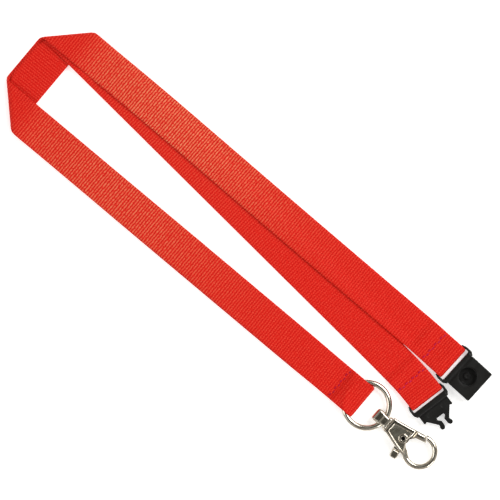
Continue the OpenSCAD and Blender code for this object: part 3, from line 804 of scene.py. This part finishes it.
def eye_shape(x, y, z):
    knob_x, wire_hole = -21.75, 1.45
    barrel = slab(plate(x, y, (-24.05, -2.7), (-19.9, 2.7), 1.3), z, 2.3, 1.1)
    barrel = np.maximum(barrel, np.hypot(x - knob_x - 0.1, z) - 2.5)
    # The wire lies in a saddle across the knob, and the bands close over it.
    wire = np.hypot(np.hypot(x + bow_from_ring, y) - ring_r, z) - ring_wire / 2 - 0.25
    barrel = carve(barrel, wire, 0.2)
    band = slab(plate(x, y, (knob_x, -2.2), (-17.2, 2.2), 0.6), z, flat_half, 0.95)
    shape = melt(barrel, band, 0.5)
    # The flange is a round collar with flats above and below.
    collar = slab(np.hypot(y, z) - 3.25, x + 17.4, 0.44, 0.22)
    collar = carve(collar, flat_half - np.abs(z), 0.2)
    shape = melt(shape, collar, 0.6)
    hole = np.hypot(x + wire_back, z) - wire_hole - 0.34 * np.maximum(np.abs(y) - 1, 0)
    shape = carve(shape, hole, 0.18)
    stud = np.maximum(np.hypot(y, z) - stud_r, np.abs(x + 15.9) - 1.5)
    head = slab(np.hypot(y, z) - stud_head_r, x - stud_head_x, 0.4, 0.2)
    return np.minimum(shape, melt(stud, head, 0.15))


eye_step = 0.09
formed("swivel_eye_cast", eye_shape, (-24.6, -3.8, -2.8), (-14.0, 3.8, 2.8), eye_step, hook_turn,
       hook_at, nickel, "eye", ["swivel_eye"])

# ---------------------------------------------------------------------------------------------
# The hook's body: one nickel-plated zinc casting. Two cheeks with a sunk panel each and a boss
# round the rivet, a slit between them for the rocker, and the bow that the load hangs in.
# ---------------------------------------------------------------------------------------------
bow_inner, bow_outer = 5.05, 7.3
bow_high = 3.0
pivot = (-8.7, -0.4)
rivet_radius = 0.9
boss_radius = 1.75
cheek_half = 2.35
slit_half = 1.1
hub_room, rocker_play, nose_play = 3.0, 0.25, 0.2
bore_play, head_play = 0.08, 0.12
gate_sweep = joint["gate_pivot"]["range_deg"][1]
gate_swing_r = math.hypot(7.5, 5.85)
lever_angle = math.radians(-78)
lever_way = math.cos(lever_angle), math.sin(lever_angle)


def gate_plan(x, y):
    """The gate's plan outline about the pivot."""
    rough = outline([(-1.6, 2.2), (1.4, 5.7), (6.5, 6.9), (8.2, 4.7), (3.8, 3.4), (2.5, 1.6),
                     (1.5, -1.5), (-1.5, -1)], x, y)
    return np.maximum(rough, np.hypot(x, y) - gate_swing_r)


def lever_plan(x, y):
    """The thumb lever's plan outline about the pivot: a bar with a blunt end."""
    out, beside = x * lever_way[0] + y * lever_way[1], y * lever_way[0] - x * lever_way[1]
    return plate(out, beside, (-1.5, -1.5), (8.95, 1.5), 0.8)


def hook_shape(x, y, z):
    cheek_plan = outline([
        (-16.75, -3.3), (-15.3, -3.3), (-9.1, -5), (-4.38, -5.84), (-2.92, -6.57), (-2.19, -4.38),
        (-6.4, 0), (-6.4, 5.6), (-9, 5), (-13.8, 4), (-16.75, 3.6)], x, y)
    away = np.hypot(x, y)
    opening = np.minimum(away - bow_inner, np.hypot(x + 3.4, y - 0.6) - 3.6)
    cheek_plan = carve(cheek_plan, opening, 0.3)
    # The cheeks thin down to the bow's height where they run out along it.
    shape = slab(cheek_plan, z, cheek_half - 0.85 * eased((x + 7.2) / 4.4), 0.8)
    # The bow is a bar with full round sides.
    bow_mid, bow_half = (bow_inner + bow_outer) / 2, (bow_outer - bow_inner) / 2
    bow = slab(np.abs(away - bow_mid) - bow_half, z, bow_high / 2, bow_half - 0.03)
    ends = outline([(0, 0), (-5.2, -4.7), (-20, -9), (-20, -20), (20, -20), (20, 20), (-8.08, 20)],
                   x, y)
    shape = melt(shape, np.maximum(bow, ends), 0.5)
    # Sunk panels with a rim left round them, and the boss standing in them.
    pan = outline([(-15.3, -1.95), (-15.2, 1.85), (-7.6, 3.6), (-7.25, 0), (-5.4, -3.7),
                   (-3.6, -5.2), (-9.2, -3.8)], x, y)
    to_pivot = np.hypot(x - pivot[0], y - pivot[1])
    pan = carve(pan, to_pivot - boss_radius, 0.12)
    floor = cheek_half - 0.34 - 0.036 * (x + 15.3) + 0.02 * y
    sunk = np.maximum(pan + 0.25 * (cheek_half - np.abs(z)), floor - np.abs(z))
    shape = carve(shape, sunk, 0.16)
    shape = carve(shape, to_pivot - rivet_radius, 0.22)
    # Room between the cheeks for the rocker from shut to open.
    room = to_pivot - hub_room
    px, py = x - pivot[0], y - pivot[1]
    for turned in np.radians(np.linspace(0, gate_sweep, 7)):
        c, s = math.cos(turned), math.sin(turned)
        rx, ry = px * c - py * s, px * s + py * c
        rocker = np.minimum(gate_plan(rx, ry), lever_plan(rx, ry))
        room = np.minimum(room, rocker - rocker_play)
    shape = carve(shape, np.maximum(room, np.abs(z) - slit_half), 0.12)
    nose = np.maximum(to_pivot - gate_swing_r - nose_play, np.maximum(2.6 - px, 3.4 - py))
    shape = carve(shape, nose, 0.2)
    # The stud's bore, and the chamber where its head turns.
    bore = np.maximum(np.hypot(y, z) - stud_r - bore_play, x + 15.1)
    shape = carve(shape, bore, 0.12)
    chamber = np.maximum(np.abs(x - stud_head_x) - 0.6, np.hypot(y, z) - stud_head_r - head_play)
    return carve(shape, chamber, 0.1)


casting_step = 0.1
formed("hook_casting", hook_shape, (-17.3, -8.0, -2.7), (7.9, 8.0, 2.7), casting_step, hook_turn,
       hook_at, nickel, "hook", ["hook_body"])

# ---------------------------------------------------------------------------------------------
# The pivot rivet and the gate's spring: a tubular steel rivet spread in its two bosses, its deep
# bore painted black as shade, and a coil of hard-drawn wire hidden on the rocker's hub.
# ---------------------------------------------------------------------------------------------
rivet_low, rivet_high = (np.array(c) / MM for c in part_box("pivot_rivet"))
rivet_at = (rivet_low + rivet_high) / 2
rivet_half = (rivet_high[2] - rivet_low[2]) / 2
bore_r, bore_deep = 0.8, 1.5
# The upper half's outline: distance from the axis, height, and how much painted shade it gets.
rivet_profile = np.array([
    (bore_r - 0.1, rivet_half - bore_deep, 1), (bore_r, rivet_half - bore_deep + 0.12, 1),
    (bore_r, rivet_half - 0.22, 0.8),
    (bore_r + 0.015, rivet_half - 0.05, 0.25), (bore_r + 0.04, rivet_half, 0),
    (rivet_radius - 0.03, rivet_half, 0), (rivet_radius, rivet_half - 0.04, 0)])
rivet_profile = np.vstack([rivet_profile, rivet_profile[::-1] * [1, -1, 1]])
rivet_steps = 40
rivet_round = np.linspace(0, math.tau, rivet_steps, endpoint=False)
rivet_places = np.dstack([
    rivet_at[0] + rivet_profile[:, :1] * np.cos(rivet_round),
    rivet_at[1] + rivet_profile[:, :1] * np.sin(rivet_round),
    rivet_at[2] + rivet_profile[:, 1:2] * np.ones(rivet_steps)]).reshape(-1, 3)

# Nickel-plated steel with painted shade in its bore: bright metal on the lip, painted black and
# matt inside.
rivet_finish, tree = new_finish("nickel_plated_steel_rivet")
deep = add(tree, "Attribute", {"attribute_name": "deep"})
# Painted shade: the bore turns black, matt and non-metallic the deeper it goes.
bore_shade = add(tree, "MixRGB", inputs={"Fac": deep.outputs["Fac"], "Color1": tone("CFC8BA"),
                                   "Color2": tone("060505")})
dull = add(tree, "MapRange", inputs={"Value": deep.outputs["Fac"], "To Min": 0.2, "To Max": 0.75})
bright = add(tree, "Math", {"operation": "SUBTRACT"}, {0: 1.0, 1: deep.outputs["Fac"]})
close_finish(tree, {
    "Base Color": bore_shade.outputs["Color"], "Metallic": bright.outputs[0],
    "Roughness": dull.outputs["Result"]})
rivet_rows = len(rivet_profile)
rivet_faces = quads_round(rivet_rows, rivet_steps).tolist()
rivet_faces += [list(range(rivet_steps)),
                [(rivet_rows - 1) * rivet_steps + j for j in range(rivet_steps)][::-1]]
new_piece("pivot_rivet_tube", rivet_places, rivet_faces, rivet_finish, "hook",
          ["pivot_rivet"], {"deep": np.repeat(rivet_profile[:, 2], rivet_steps)})

# Hard-drawn spring wire: grey steel with fine lines drawn along it and a film of oil.
drawn_steel, tree = new_finish("hard_drawn_spring_steel")
place = add(tree, "TexCoord")
drawn = add(tree, "TexNoise",
            inputs={"Vector": place.outputs["Object"], "Scale": 5000, "Detail": 3})
wire_tone = blend(tree, drawn.outputs["Fac"], ((0.3, "6E6C69"), (0.7, "A09D98")))
close_finish(tree, {
    "Base Color": wire_tone.outputs["Color"], "Metallic": 1.0, "Roughness": 0.32})
spring = bpy.data.objects["gate_spring"]
spring.data.materials.clear()
spring.data.materials.append(drawn_steel)

# ---------------------------------------------------------------------------------------------
# The rocker: gate and thumb lever cast in one, nickel plated. Its hub turns on the rivet between
# the cheeks, and the spring holds the gate against the bow's nose.
# ---------------------------------------------------------------------------------------------
rocker_half = 1.0
hub_radius, spring_well = 2.5, 2.0
gate_thick_from, lever_thick_from = 2.55, 5.7
rivet_play = 0.06


def rocker_shape(x, y, z):
    gate, lever = gate_plan(x, y), lever_plan(x, y)
    away = np.hypot(x, y)
    hub = away - hub_radius
    plan = melt(melt(hub, gate, 0.5), lever, 0.5)
    shape = slab(plan, z, rocker_half, 0.15)
    thick_gate = slab(np.maximum(gate, gate_thick_from - x), z, bow_high / 2, 1.05)
    out = x * lever_way[0] + y * lever_way[1]
    thick_lever = slab(np.maximum(lever, lever_thick_from - out), z, bow_high / 2, 0.5)
    shape = melt(melt(shape, thick_gate, 0.3), thick_lever, 0.4)
    # The hole for the rivet, and the well that the spring sits in.
    shape = carve(shape, away - rivet_radius - rivet_play, 0.08)
    pocket = np.maximum(away - spring_well, rocker_half - 1.17 - z)
    return carve(shape, pocket, 0.05)


turn_c, turn_s = math.cos(math.radians(hook_turn)), math.sin(math.radians(hook_turn))
pivot_turned = np.array([pivot[0] * turn_c + pivot[1] * turn_s,
                         pivot[1] * turn_c - pivot[0] * turn_s, 0])
formed("gate_rocker", rocker_shape, (-3.4, -9.6, -1.9), (9.9, 7.3, 1.9), casting_step, hook_turn,
       hook_at + pivot_turned, nickel, "gate", ["gate_lever"])
